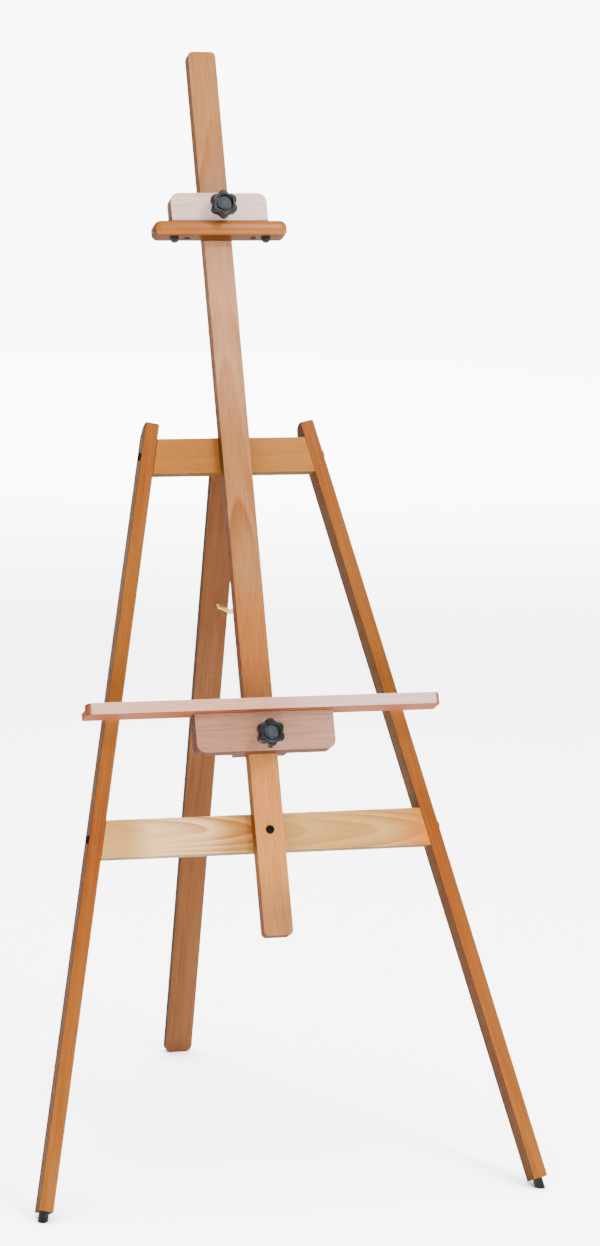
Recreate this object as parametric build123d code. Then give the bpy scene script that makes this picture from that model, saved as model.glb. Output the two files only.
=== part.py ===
from build123d import *
import math
import os

os.makedirs("parts", exist_ok=True)

# A lyre-type studio easel. All sizes are in millimetres and all angles in degrees.
# Every piece is drawn with the front frame upright: X to the right, Y towards the back, Z up along the mast.
# Y = 0 is the common front face of the legs and crossbars. The finished frame then leans back about X.

# ---- stance ----
LEAN = 25.0                 # the front frame leans back this far from the vertical
OPENING = 38.5              # between the front frame and the rear leg, set by the chain

# ---- front legs ----
LEG_WIDTH = 22.0            # seen from the front
LEG_DEPTH = 38.0            # front to back
LEG_SPLAY = 12.1            # each leg leans towards the mast
LEG_TOP = 1203.0            # height along the mast
FOOT_SPREAD = 369.0         # from the mast's centre line to a leg's inner face at floor level
LEG_TOP_BACK_RADIUS = 24.0
LEG_TOP_FRONT_RADIUS = 5.0

# ---- rubber feet ----
FOOT_RADIUS = 7.5
FOOT_HEIGHT = 13.0
FOOT_STEM_RADIUS = 3.5
FOOT_STEM_LENGTH = 16.0

# ---- crossbars ----
BAR_DEPTH = 20.0
UPPER_BAR_BOTTOM = 1120.0
UPPER_BAR_HEIGHT = 56.0
LOWER_BAR_BOTTOM = 526.0
LOWER_BAR_HEIGHT = 58.0

# ---- mast ----
MAST_WIDTH = 45.0
MAST_DEPTH = 23.0
MAST_BOTTOM = 394.0
MAST_TOP = 1805.0
MAST_CORNER_RADIUS = 8.0

# ---- rear leg ----
REAR_WIDTH = 45.0
REAR_DEPTH = 16.0
REAR_CORNER_RADIUS = 11.0

# ---- connector bolts, barrel nuts and dowels between legs and crossbars ----
BOLT_RADIUS = 3.0
BOLT_HOLE_RADIUS = 3.3
BOLT_HEAD_RADIUS = 6.2
BOLT_HEAD_HEIGHT = 2.6
SOCKET_FLATS = 4.0
SOCKET_DEPTH = 1.6
BOLT_REACH = 34.0           # how far a bolt runs into the crossbar
BARREL_RADIUS = 5.0
BARREL_INSET = 26.0         # barrel nut's centre from the crossbar's end
BARREL_COVER = 2.0          # wood left in front of a barrel nut's hole
DOWEL_RADIUS = 4.0
DOWEL_LENGTH = 28.0
DOWEL_OFFSET = 17.0         # above or below the bolt

# ---- mast fixings ----
MAST_BOLT_HEAD_RADIUS = 6.4
MAST_BOLT_HEAD_HEIGHT = 4.0
COUNTERBORE_RADIUS = 9.5
COUNTERBORE_DEPTH = 8.0
WASHER_RADIUS = 9.0
WASHER_THICKNESS = 1.5
NUT_FLATS = 10.0
NUT_HEIGHT = 5.0
MAST_SCREW_RADIUS = 2.0
MAST_SCREW_HEAD_RADIUS = 4.0
MAST_SCREW_HEAD_HEIGHT = 2.4
MAST_SCREW_LENGTH = 34.0
MAST_SCREW_OFFSET = 12.0    # each side of the centre line
MAST_SCREW_DROP = 12.0      # below the middle of the upper crossbar

# ---- butt hinge of the rear leg ----
HINGE_WIDTH = 40.0
LEAF_HEIGHT = 24.0
LEAF_THICKNESS = 1.2
LEAF_GAP = 0.6              # between the leaves when the easel is folded
KNUCKLE_RADIUS = 3.0
KNUCKLE_COUNT = 5
KNUCKLE_GAP = 0.3
HINGE_PIN_RADIUS = 1.4
HINGE_PIN_CLEARANCE = 0.05
PIN_HEAD_RADIUS = 2.0
PIN_HEAD_THICKNESS = 0.9
PIN_HEAD_GAP = 0.1
HINGE_PIN_RISE = 3.6        # pin's centre above the crossbar's top
HINGE_SCREW_RADIUS = 1.5
HINGE_SCREW_HEAD_RADIUS = 2.8
HINGE_SCREW_LENGTH = 12.0
HINGE_SCREW_SPREAD = 13.0
HINGE_SCREW_ROWS = (8.0, 18.0)   # below the pin's centre

# ---- chain and its screw eyes ----
CHAIN_DROP = 266.0          # mast's eye below the hinge pin
REAR_EYE_EXTRA_DROP = 14.0  # the rear leg's eye sits lower, so that the eyes pass when folded
CHAIN_LANE = 3.6            # the chain's halves run side by side, each this far from the centre line
CHAIN_SAG = 12.0            # at the middle
EYE_RADIUS = 4.2            # centre line of the ring
EYE_WIRE = 1.0
EYE_STANDOFF = 8.0          # ring's centre from the wood
EYE_SHANK_RADIUS = 1.5
EYE_SHANK_LENGTH = 11.0     # in the wood
LINK_LENGTH = 10.0          # between the wire's centres at the two ends
LINK_RADIUS = 2.4           # centre line of a link's round ends
LINK_WIRE = 0.9
LINK_PLAY = 0.15
LINK_OVERRUN = 2.0          # how far each half passes the chain's middle

# ---- both clamps: a front plate, guides beside the mast and strips behind it ----
SLIDE_GAP = 0.3             # between a clamp and the mast, on every side
PLATE_DEPTH = 26.0
GUIDE_WIDTH = 18.0
STRIP_DEPTH = 10.0
STRIP_LAP = 11.0            # how far each strip reaches behind the mast
GUIDE_INSET = 3.0           # guides stop short of the plate's top and bottom
GUIDE_SCREW_RADIUS = 2.0
GUIDE_SCREW_HEAD_RADIUS = 3.8
GUIDE_SCREW_HEAD_HEIGHT = 2.2
GUIDE_SCREW_LENGTH = 48.0
GUIDE_SCREW_INSET = 12.0    # from a strip's top and bottom
PLATE_CORNER_RADIUS = 14.0

# ---- canvas tray and its clamp ----
TRAY_BOTTOM = 731.0
TRAY_LENGTH = 549.0
SHELF_DEPTH = 25.0
SHELF_THICKNESS = 11.0
LIP_DEPTH = 18.0
LIP_HEIGHT = 18.0
LIP_RADIUS = 6.0
TRAY_CORNER_RADIUS = 12.0
TRAY_PLATE_HEIGHT = 60.0
TRAY_PLATE_WIDTH = 216.0
TRAY_KNOB_DROP = 39.0       # knob's axis below the tray

# ---- top clamp ----
LEDGE_BOTTOM = 1489.0
LEDGE_LENGTH = 212.0
LEDGE_DEPTH = 33.0
LEDGE_THICKNESS = 24.0
LEDGE_EDGE_RADIUS = 9.0
LEDGE_CORNER_RADIUS = 12.0
TOP_PLATE_HEIGHT = 46.0
TOP_PLATE_WIDTH = 154.0
TOP_KNOB_RISE = 17.0        # knob's axis above the ledge
BUMPER_RADIUS = 7.2
BUMPER_HEIGHT = 8.5
BUMPER_OFFSET = 73.0
BUMPER_DEPTH = 15.0         # bumper's centre from the ledge's back
PLATE_SCREW_RADIUS = 2.2
PLATE_SCREW_HEAD_RADIUS = 4.8
PLATE_SCREW_HEAD_HEIGHT = 2.6
PLATE_SCREW_LENGTH = 42.0
LEDGE_SCREW_OFFSET = 53.0
TRAY_SCREW_OFFSET = 70.0
PLATE_SCREW_DEPTH = 13.0    # screw's axis from the plate's back

# ---- star knob, stud, insert and pressure pad ----
KNOB_LOBES = 6
KNOB_LOBE_CIRCLE = 15.6
KNOB_LOBE_RADIUS = 6.6
KNOB_CORE_RADIUS = 17.8
KNOB_THICKNESS = 15.0
KNOB_HUB_RADIUS = 9.0
KNOB_HUB_LENGTH = 14.0
KNOB_STANDOFF = 6.0         # hub from the plate's front
CAP_RADIUS = 10.6
CAP_RECESS = 3.0
CAP_THICKNESS = 2.2
CAP_CLEARANCE = 0.1
STUD_RADIUS = 4.0
STUD_HOLE_RADIUS = 4.5      # through the wood
STUD_CLEARANCE = 0.08
STUD_BITE = 12.0            # stud's length inside the knob
INSERT_RADIUS = 6.0
INSERT_LENGTH = 16.0
PAD_RADIUS = 6.5
PAD_THICKNESS = 3.0
PAD_CLEARANCE = 0.15
PAD_ROOM = 8.0              # depth of the pad's pocket in the plate's back

EDGE = 2.0                  # rounding along the legs' edges
FINE_EDGE = 1.2             # rounding along the other boards' edges
GLUE_GAP = 0.05             # around dowels, inserts and shanks
LAP = 1.0                   # how far a screw's shank runs into its head, and a hole past its screw

# ---- positions that follow ----
PIN_Y = BAR_DEPTH + LEAF_THICKNESS + LEAF_GAP / 2
PIN_Z = UPPER_BAR_BOTTOM + UPPER_BAR_HEIGHT + HINGE_PIN_RISE
REAR_FRONT_Y = PIN_Y + LEAF_GAP / 2 + LEAF_THICKNESS
REAR_TOP_Z = PIN_Z - HINGE_PIN_RISE
REAR_LEAN = OPENING - LEAN
FOOT_Y = LEG_DEPTH / 2
FLOOR_DROP = FOOT_Y * math.sin(math.radians(LEAN))
LEG_CENTRE = FOOT_SPREAD + LEG_WIDTH / 2 / math.cos(math.radians(LEG_SPLAY))
PLATE_BACK = -(MAST_DEPTH + SLIDE_GAP)
PLATE_FRONT = PLATE_BACK - PLATE_DEPTH
GUIDE_INNER = MAST_WIDTH / 2 + SLIDE_GAP
GUIDE_OUTER = GUIDE_INNER + GUIDE_WIDTH
UPPER_BAR_MIDDLE = UPPER_BAR_BOTTOM + UPPER_BAR_HEIGHT / 2
LOWER_BAR_MIDDLE = LOWER_BAR_BOTTOM + LOWER_BAR_HEIGHT / 2
TRAY_BACK = PLATE_BACK
TRAY_KNOB_Z = TRAY_BOTTOM - TRAY_KNOB_DROP
LEDGE_TOP = LEDGE_BOTTOM + LEDGE_THICKNESS
TOP_KNOB_Z = LEDGE_TOP + TOP_KNOB_RISE

LEANING = Pos(0, 0, FLOOR_DROP) * Rot(-LEAN, 0, 0)
OPENED = Pos(0, PIN_Y, PIN_Z) * Rot(OPENING, 0, 0) * Pos(0, -PIN_Y, -PIN_Z)

nodes = {}


# ---- small helpers ----
def board(x0, x1, y0, y1, z0, z1):
    """A plain board between two corners."""
    middle = Pos((x0 + x1) / 2, (y0 + y1) / 2, (z0 + z1) / 2)
    return middle * Box(x1 - x0, y1 - y0, z1 - z0)


def rod_x(radius, x0, x1, y, z):
    return Pos((x0 + x1) / 2, y, z) * Rot(0, 90, 0) * Cylinder(radius, x1 - x0)


def rod_y(radius, y0, y1, x, z):
    return Pos(x, (y0 + y1) / 2, z) * Rot(90, 0, 0) * Cylinder(radius, y1 - y0)


def rod_z(radius, z0, z1, x, y):
    return Pos(x, y, (z0 + z1) / 2) * Cylinder(radius, z1 - z0)


def edges_along(part, axis, near):
    """Edges along an axis whose middle passes the given test."""
    return [edge for edge in part.edges().filter_by(axis) if near(edge.center())]


def edges_on(part, y):
    """Edges lying in the plane at this Y."""
    return [edge for edge in part.edges() if abs(edge.center().Y - y) < 0.01]


def group(solids):
    """Separate solids kept together in one node."""
    return Compound(children=list(solids))


def leg_place(side):
    """Where a leg's own upright axis stands: side is -1 on the left and 1 on the right."""
    return Pos(side * LEG_CENTRE, 0, 0) * Rot(0, -side * LEG_SPLAY, 0)


def along_leg(height):
    """Distance along a leg's axis for a height along the mast."""
    return height / math.cos(math.radians(LEG_SPLAY))


def inner_half_width(height):
    """From the centre line to a leg's inner face, at a height along the mast."""
    return FOOT_SPREAD - height * math.tan(math.radians(LEG_SPLAY))


BAR_MIDDLES = (LOWER_BAR_MIDDLE, UPPER_BAR_MIDDLE)


def joint_height(middle):
    """Where a crossbar's bolt crosses a leg's axis, along that axis."""
    return along_leg(middle)


# ---- front legs and feet ----
def front_leg(side):
    half = LEG_WIDTH / 2
    leg = board(-half, half, 0, LEG_DEPTH, FOOT_HEIGHT, along_leg(LEG_TOP))
    top = along_leg(LEG_TOP)
    back = edges_along(leg, Axis.X, lambda p: abs(p.Z - top) < 1 and p.Y > LEG_DEPTH - 1)
    leg = fillet(back, LEG_TOP_BACK_RADIUS)
    front = edges_along(leg, Axis.X, lambda p: abs(p.Z - top) < 1 and p.Y < 1)
    leg = fillet(front, LEG_TOP_FRONT_RADIUS)
    leg = fillet(edges_along(leg, Axis.Z, lambda p: True), EDGE)
    leg -= rod_z(FOOT_STEM_RADIUS + GLUE_GAP, FOOT_HEIGHT, FOOT_HEIGHT + FOOT_STEM_LENGTH + LAP, 0, FOOT_Y)
    inner = -side * half
    for middle in BAR_MIDDLES:
        z = joint_height(middle)
        leg -= rod_x(BOLT_HOLE_RADIUS, -half, half, BAR_DEPTH / 2, z)
        reach = sorted((inner, inner + side * (DOWEL_LENGTH / 2 + LAP)))
        leg -= rod_x(DOWEL_RADIUS + GLUE_GAP, reach[0], reach[1], BAR_DEPTH / 2, z - DOWEL_OFFSET)
    return leg_place(side) * leg


def rubber_foot(side):
    """A push-in plug, worn flat where it meets the floor."""
    foot = rod_z(FOOT_RADIUS, -FOOT_HEIGHT, FOOT_HEIGHT, 0, FOOT_Y)
    foot += rod_z(FOOT_STEM_RADIUS, FOOT_HEIGHT - LAP, FOOT_HEIGHT + FOOT_STEM_LENGTH, 0, FOOT_Y)
    standing = LEANING * leg_place(side) * foot
    reach = 4 * FOOT_SPREAD
    below = Pos(0, 0, -reach / 2) * Box(reach, reach, reach)
    return standing - below


# ---- crossbars ----
def crossbar(bottom, height):
    top = bottom + height
    outline = Polyline(
        (-inner_half_width(bottom), 0, bottom),
        (inner_half_width(bottom), 0, bottom),
        (inner_half_width(top), 0, top),
        (-inner_half_width(top), 0, top),
        close=True,
    )
    bar = extrude(make_face(outline), BAR_DEPTH, dir=(0, 1, 0))
    bar = fillet(edges_along(bar, Axis.X, lambda p: True), FINE_EDGE)
    middle = bottom + height / 2
    for side in (-1, 1):
        place = leg_place(side)
        z = joint_height(middle)
        inner = -side * LEG_WIDTH / 2
        deep = inner - side * (BOLT_REACH + LAP)
        reach = sorted((inner, deep))
        bar -= place * rod_x(BOLT_HOLE_RADIUS, reach[0], reach[1], BAR_DEPTH / 2, z)
        barrel = inner - side * BARREL_INSET
        bar -= place * rod_y(BARREL_RADIUS + GLUE_GAP, BARREL_COVER, BAR_DEPTH, barrel, z)
        reach = sorted((inner, inner - side * (DOWEL_LENGTH / 2 + LAP)))
        bar -= place * rod_x(DOWEL_RADIUS + GLUE_GAP, reach[0], reach[1], BAR_DEPTH / 2, z - DOWEL_OFFSET)
    return bar


def lower_crossbar():
    bar = crossbar(LOWER_BAR_BOTTOM, LOWER_BAR_HEIGHT)
    bar -= rod_y(BOLT_HOLE_RADIUS, 0, BAR_DEPTH, 0, LOWER_BAR_MIDDLE)
    bar -= rod_y(COUNTERBORE_RADIUS, BAR_DEPTH - COUNTERBORE_DEPTH, BAR_DEPTH, 0, LOWER_BAR_MIDDLE)
    return bar


def upper_crossbar():
    bar = crossbar(UPPER_BAR_BOTTOM, UPPER_BAR_HEIGHT)
    for screw in mast_screw_solids(GLUE_GAP):
        bar -= screw
    for screw in hinge_screw_solids(False, GLUE_GAP):
        bar -= screw
    return bar


# ---- mast ----
def mast():
    half = MAST_WIDTH / 2
    wood = board(-half, half, -MAST_DEPTH, 0, MAST_BOTTOM, MAST_TOP)
    wood = fillet(edges_along(wood, Axis.Y, lambda p: True), MAST_CORNER_RADIUS)
    wood = fillet(edges_on(wood, -MAST_DEPTH) + edges_on(wood, 0), FINE_EDGE)
    wood -= rod_y(BOLT_HOLE_RADIUS, -MAST_DEPTH, 0, 0, LOWER_BAR_MIDDLE)
    for screw in mast_screw_solids(GLUE_GAP):
        wood -= screw
    shank = EYE_SHANK_LENGTH + LAP
    wood -= rod_y(EYE_SHANK_RADIUS + GLUE_GAP, -shank, 0, -CHAIN_LANE, PIN_Z - CHAIN_DROP)
    return wood


def mast_bolt():
    """A round-headed machine bolt through the mast and the lower crossbar."""
    end = BAR_DEPTH - COUNTERBORE_DEPTH + WASHER_THICKNESS + NUT_HEIGHT
    bolt = rod_y(BOLT_RADIUS, -MAST_DEPTH - LAP, end, 0, LOWER_BAR_MIDDLE)
    head = rod_y(MAST_BOLT_HEAD_RADIUS, -MAST_DEPTH - MAST_BOLT_HEAD_HEIGHT, -MAST_DEPTH, 0, LOWER_BAR_MIDDLE)
    rim = head.edges().filter_by(GeomType.CIRCLE).sort_by(Axis.Y)[0]
    return bolt + fillet(rim, MAST_BOLT_HEAD_HEIGHT * 0.7)


def mast_bolt_washer():
    seat = BAR_DEPTH - COUNTERBORE_DEPTH
    washer = rod_y(WASHER_RADIUS, seat, seat + WASHER_THICKNESS, 0, LOWER_BAR_MIDDLE)
    return washer - rod_y(BOLT_HOLE_RADIUS, seat, seat + WASHER_THICKNESS, 0, LOWER_BAR_MIDDLE)


def mast_bolt_nut():
    seat = BAR_DEPTH - COUNTERBORE_DEPTH + WASHER_THICKNESS
    hexagon = RegularPolygon(NUT_FLATS / 2, 6, major_radius=False)
    nut = extrude(hexagon, NUT_HEIGHT) - extrude(Circle(BOLT_RADIUS + GLUE_GAP), NUT_HEIGHT)
    return Pos(0, seat, LOWER_BAR_MIDDLE) * Rot(-90, 0, 0) * nut


def mast_screw_solids(extra):
    """Countersunk screws from behind, through the upper crossbar into the mast."""
    screws = []
    for side in (-1, 1):
        x = side * MAST_SCREW_OFFSET
        z = UPPER_BAR_MIDDLE - MAST_SCREW_DROP
        shank = rod_y(MAST_SCREW_RADIUS + extra, BAR_DEPTH - MAST_SCREW_LENGTH - extra, BAR_DEPTH - LAP, x, z)
        head_back = BAR_DEPTH + extra
        head = rod_y(MAST_SCREW_HEAD_RADIUS + extra, BAR_DEPTH - MAST_SCREW_HEAD_HEIGHT - extra, head_back, x, z)
        screws.append(shank + head)
    return screws


# ---- connector bolts, barrel nuts, dowels ----
def connector_bolts():
    solids = []
    for side in (-1, 1):
        outer = side * LEG_WIDTH / 2
        inner_end = -side * (LEG_WIDTH / 2 + BOLT_REACH)
        for middle in BAR_MIDDLES:
            z = joint_height(middle)
            reach = sorted((outer, inner_end))
            shank = rod_x(BOLT_RADIUS, reach[0], reach[1], BAR_DEPTH / 2, z)
            reach = sorted((outer, outer + side * BOLT_HEAD_HEIGHT))
            head = rod_x(BOLT_HEAD_RADIUS, reach[0], reach[1], BAR_DEPTH / 2, z)
            far = head.edges().filter_by(GeomType.CIRCLE).sort_by(Axis.X)[-1 if side > 0 else 0]
            head = fillet(far, BOLT_HEAD_HEIGHT * 0.6)
            socket = extrude(RegularPolygon(SOCKET_FLATS / 2, 6, major_radius=False), BOLT_HEAD_HEIGHT, both=True)
            socket_middle = outer + side * (2 * BOLT_HEAD_HEIGHT - SOCKET_DEPTH)
            socket = Pos(socket_middle, BAR_DEPTH / 2, z) * Rot(0, 90, 0) * socket
            solids.append(leg_place(side) * ((shank + head) - socket))
    return group(solids)


def barrel_nuts():
    solids = []
    for side in (-1, 1):
        for middle in BAR_MIDDLES:
            z = joint_height(middle)
            x = -side * (LEG_WIDTH / 2 + BARREL_INSET)
            barrel = rod_y(BARREL_RADIUS, BARREL_COVER + LAP, BAR_DEPTH - LAP, x, z)
            barrel -= rod_x(BOLT_RADIUS + GLUE_GAP, x - 2 * BARREL_RADIUS, x + 2 * BARREL_RADIUS, BAR_DEPTH / 2, z)
            solids.append(leg_place(side) * barrel)
    return group(solids)


def alignment_dowels():
    solids = []
    for side in (-1, 1):
        face = -side * LEG_WIDTH / 2
        for middle in BAR_MIDDLES:
            z = joint_height(middle) - DOWEL_OFFSET
            dowel = rod_x(DOWEL_RADIUS, face - DOWEL_LENGTH / 2, face + DOWEL_LENGTH / 2, BAR_DEPTH / 2, z)
            solids.append(leg_place(side) * dowel)
    return group(solids)


# ---- hinge ----
def hinge_screw_solids(moving, extra):
    """Screws of one leaf, drawn with the hinge closed. Extra widens them into their own holes."""
    wood = REAR_FRONT_Y if moving else BAR_DEPTH
    inward = 1 if moving else -1
    screws = []
    for x in (-HINGE_SCREW_SPREAD, HINGE_SCREW_SPREAD):
        for drop in HINGE_SCREW_ROWS:
            z = PIN_Z - drop
            head = sorted((wood - inward * LEAF_THICKNESS, wood))
            shank = sorted((wood - inward * LEAF_THICKNESS / 2, wood + inward * (HINGE_SCREW_LENGTH + extra)))
            screw = rod_y(HINGE_SCREW_HEAD_RADIUS + extra, head[0], head[1], x, z)
            screws.append(screw + rod_y(HINGE_SCREW_RADIUS + extra, shank[0], shank[1], x, z))
    return screws


def hinge_leaf(moving):
    """A pressed leaf with its share of the knuckles, drawn with the hinge closed."""
    half = HINGE_WIDTH / 2
    near = REAR_FRONT_Y - LEAF_THICKNESS if moving else BAR_DEPTH
    leaf = board(-half, half, near, near + LEAF_THICKNESS, PIN_Z - LEAF_HEIGHT, PIN_Z)
    leaf += rod_x(KNUCKLE_RADIUS, -half, half, PIN_Y, PIN_Z)
    pitch = HINGE_WIDTH / KNUCKLE_COUNT
    reach = KNUCKLE_RADIUS + KNUCKLE_GAP
    for index in range(KNUCKLE_COUNT):
        if (index % 2 == 1) != moving:
            x0 = -half + index * pitch - KNUCKLE_GAP / 2
            x1 = x0 + pitch + KNUCKLE_GAP
            leaf -= board(x0, x1, PIN_Y - reach, PIN_Y + reach, PIN_Z - reach, PIN_Z + reach)
    bore = HINGE_PIN_RADIUS + HINGE_PIN_CLEARANCE
    leaf -= rod_x(bore, -half, half, PIN_Y, PIN_Z)
    for screw in hinge_screw_solids(moving, GLUE_GAP):
        leaf -= screw
    return leaf


def hinge_pin():
    half = HINGE_WIDTH / 2
    reach = half + PIN_HEAD_GAP + PIN_HEAD_THICKNESS
    pin = rod_x(HINGE_PIN_RADIUS, -reach, reach, PIN_Y, PIN_Z)
    for side in (-1, 1):
        ends = sorted((side * (half + PIN_HEAD_GAP), side * reach))
        pin += rod_x(PIN_HEAD_RADIUS, ends[0], ends[1], PIN_Y, PIN_Z)
    return pin


# ---- rear leg ----
def rear_leg():
    """Drawn folded against the crossbars, with its bottom cut to stand flat when the easel is open."""
    half = REAR_WIDTH / 2
    lean = math.radians(LEAN)
    tilt = math.radians(REAR_LEAN)
    pin_height = PIN_Z * math.cos(lean) - PIN_Y * math.sin(lean) + FLOOR_DROP

    def sole(y):
        return PIN_Z - (pin_height + (y - PIN_Y) * math.sin(tilt)) / math.cos(tilt)

    back = REAR_FRONT_Y + REAR_DEPTH
    outline = Polyline(
        (0, REAR_FRONT_Y, REAR_TOP_Z),
        (0, back, REAR_TOP_Z),
        (0, back, sole(back)),
        (0, REAR_FRONT_Y, sole(REAR_FRONT_Y)),
        close=True,
    )
    leg = Pos(-half, 0, 0) * extrude(make_face(outline), REAR_WIDTH, dir=(1, 0, 0))
    low = sole(REAR_FRONT_Y) + REAR_DEPTH
    corners = [edge for edge in leg.edges()
               if edge.center().Z < low and abs(abs(edge.center().X) - half) < 1 and edge.length < 2 * REAR_DEPTH]
    leg = fillet(corners, REAR_CORNER_RADIUS)
    leg = fillet(edges_on(leg, REAR_FRONT_Y) + edges_on(leg, back), FINE_EDGE)
    for screw in hinge_screw_solids(True, GLUE_GAP):
        leg -= screw
    z = PIN_Z - CHAIN_DROP - REAR_EYE_EXTRA_DROP
    return leg - rod_y(EYE_SHANK_RADIUS + GLUE_GAP, REAR_FRONT_Y, REAR_FRONT_Y + EYE_SHANK_LENGTH + LAP, CHAIN_LANE, z)


# ---- chain ----
# Each half is a run of links from its own eye to the middle. The halves swing on their eyes.
MAST_EYE = (EYE_STANDOFF, PIN_Z - CHAIN_DROP)
REAR_EYE = (REAR_FRONT_Y - EYE_STANDOFF, PIN_Z - CHAIN_DROP - REAR_EYE_EXTRA_DROP)
HOOK_IN = EYE_RADIUS - EYE_WIRE - LINK_WIRE - LINK_PLAY     # first link's wire from the ring's centre


def opened_point(point):
    """A (y, z) point of the folded rear leg after the leg is opened."""
    turn = math.radians(OPENING)
    y = point[0] - PIN_Y
    z = point[1] - PIN_Z
    return (PIN_Y + y * math.cos(turn) - z * math.sin(turn), PIN_Z + y * math.sin(turn) + z * math.cos(turn))


REAR_PIVOT = (REAR_EYE[0] - HOOK_IN, REAR_EYE[1])
REAR_PIVOT_OPEN = opened_point(REAR_PIVOT)
MAST_PIVOT = (MAST_EYE[0] + HOOK_IN, MAST_EYE[1])
CHAIN_MIDDLE = (
    (MAST_PIVOT[0] + REAR_PIVOT_OPEN[0]) / 2,
    (MAST_PIVOT[1] + REAR_PIVOT_OPEN[1]) / 2 - CHAIN_SAG,
)


def screw_eye(x, centre, face, inward):
    """A ring in the plane of the chain, with its shank in the wood. Inward is the shank's way along Y."""
    ring = Pos(x, centre[0], centre[1]) * Rot(0, 90, 0) * Torus(EYE_RADIUS, EYE_WIRE)
    start = centre[0] + inward * EYE_RADIUS
    end = face + inward * EYE_SHANK_LENGTH
    ends = sorted((start, end))
    return ring + rod_y(EYE_SHANK_RADIUS, ends[0], ends[1], x, centre[1])


def chain_link():
    """One link along Z, its first wire's centre at the origin, lying in the XZ plane."""
    straight = LINK_LENGTH - 2 * LINK_RADIUS
    section = Pos(LINK_RADIUS, 0, 0) * Circle(LINK_WIRE)
    side = extrude(section, straight)
    bend = revolve(section, Axis.Y, 180)
    loop = side + Rot(0, 0, 180) * side + bend + Pos(0, 0, straight) * Rot(180, 0, 0) * bend
    return Pos(0, 0, LINK_RADIUS) * loop


def chain_half(pivot, x):
    """Links from a pivot towards the chain's middle, each turned a quarter from the last."""
    along = (CHAIN_MIDDLE[0] - pivot[0], CHAIN_MIDDLE[1] - pivot[1])
    length = math.hypot(*along) + LINK_OVERRUN
    longest_pitch = LINK_LENGTH - 2 * LINK_WIRE - LINK_PLAY
    steps = math.ceil((length - LINK_LENGTH) / longest_pitch)
    pitch = (length - LINK_LENGTH) / steps
    heading = math.degrees(math.atan2(-along[0], along[1]))
    place = Pos(x, pivot[0], pivot[1]) * Rot(heading, 0, 0)
    link = chain_link()
    return group(place * Pos(0, 0, step * pitch) * Rot(0, 0, 90 * (step % 2)) * link for step in range(steps + 1))


# ---- clamps ----
def clamp_plate(bottom, top, width, round_top, knob_z):
    """The board in front of the mast, with its corners rounded at the end away from the ledge."""
    half = width / 2
    plate = board(-half, half, PLATE_FRONT, PLATE_BACK, bottom, top)
    far = top if round_top else bottom
    plate = fillet(edges_along(plate, Axis.Y, lambda p: abs(p.Z - far) < 1), PLATE_CORNER_RADIUS)
    plate = fillet(edges_on(plate, PLATE_FRONT), FINE_EDGE)
    plate -= rod_y(INSERT_RADIUS + GLUE_GAP, PLATE_FRONT, PLATE_FRONT + INSERT_LENGTH, 0, knob_z)
    plate -= rod_y(STUD_HOLE_RADIUS, PLATE_FRONT, PLATE_BACK, 0, knob_z)
    plate -= rod_y(PAD_RADIUS + PAD_CLEARANCE, PLATE_BACK - PAD_ROOM, PLATE_BACK, 0, knob_z)
    for screw in guide_screw_solids(bottom, top, GLUE_GAP):
        plate -= screw
    return plate


def guide_blocks(bottom, top):
    """Blocks beside the mast that keep the clamp in line."""
    blocks = []
    for side in (-1, 1):
        ends = sorted((side * GUIDE_INNER, side * GUIDE_OUTER))
        block = board(ends[0], ends[1], PLATE_BACK, SLIDE_GAP, bottom + GUIDE_INSET, top - GUIDE_INSET)
        for screw in guide_screw_solids(bottom, top, GLUE_GAP):
            block -= screw
        blocks.append(block)
    return group(blocks)


def back_strips(bottom, top):
    """Strips behind the mast's edges. The gap between them lets the mast's screw eye pass."""
    strips = []
    for side in (-1, 1):
        ends = sorted((side * (MAST_WIDTH / 2 - STRIP_LAP), side * GUIDE_OUTER))
        strip = board(ends[0], ends[1], SLIDE_GAP, SLIDE_GAP + STRIP_DEPTH, bottom + GUIDE_INSET, top - GUIDE_INSET)
        for screw in guide_screw_solids(bottom, top, GLUE_GAP):
            strip -= screw
        strips.append(strip)
    return group(strips)


def guide_screw_solids(bottom, top, extra):
    """Countersunk screws from behind, through strip and block into the plate."""
    screws = []
    back = SLIDE_GAP + STRIP_DEPTH
    for side in (-1, 1):
        x = side * (GUIDE_INNER + GUIDE_OUTER) / 2
        for z in (bottom + GUIDE_SCREW_INSET, top - GUIDE_SCREW_INSET):
            screw = rod_y(GUIDE_SCREW_RADIUS + extra, back - GUIDE_SCREW_LENGTH - extra, back - LAP, x, z)
            screw += rod_y(GUIDE_SCREW_HEAD_RADIUS + extra, back - GUIDE_SCREW_HEAD_HEIGHT - extra, back, x, z)
            screws.append(screw)
    return screws


def plate_screw_solids(offset, start, direction, extra):
    """Screws along Z from a board's outer face into the plate: direction is 1 when they run up."""
    screws = []
    y = PLATE_BACK - PLATE_SCREW_DEPTH
    for side in (-1, 1):
        shank = sorted((start, start + direction * (PLATE_SCREW_LENGTH + extra)))
        head = sorted((start, start + direction * (PLATE_SCREW_HEAD_HEIGHT + extra)))
        screw = rod_z(PLATE_SCREW_RADIUS + extra, shank[0], shank[1], side * offset, y)
        screw += rod_z(PLATE_SCREW_HEAD_RADIUS + extra, head[0], head[1], side * offset, y)
        screws.append(screw)
    return screws


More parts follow.
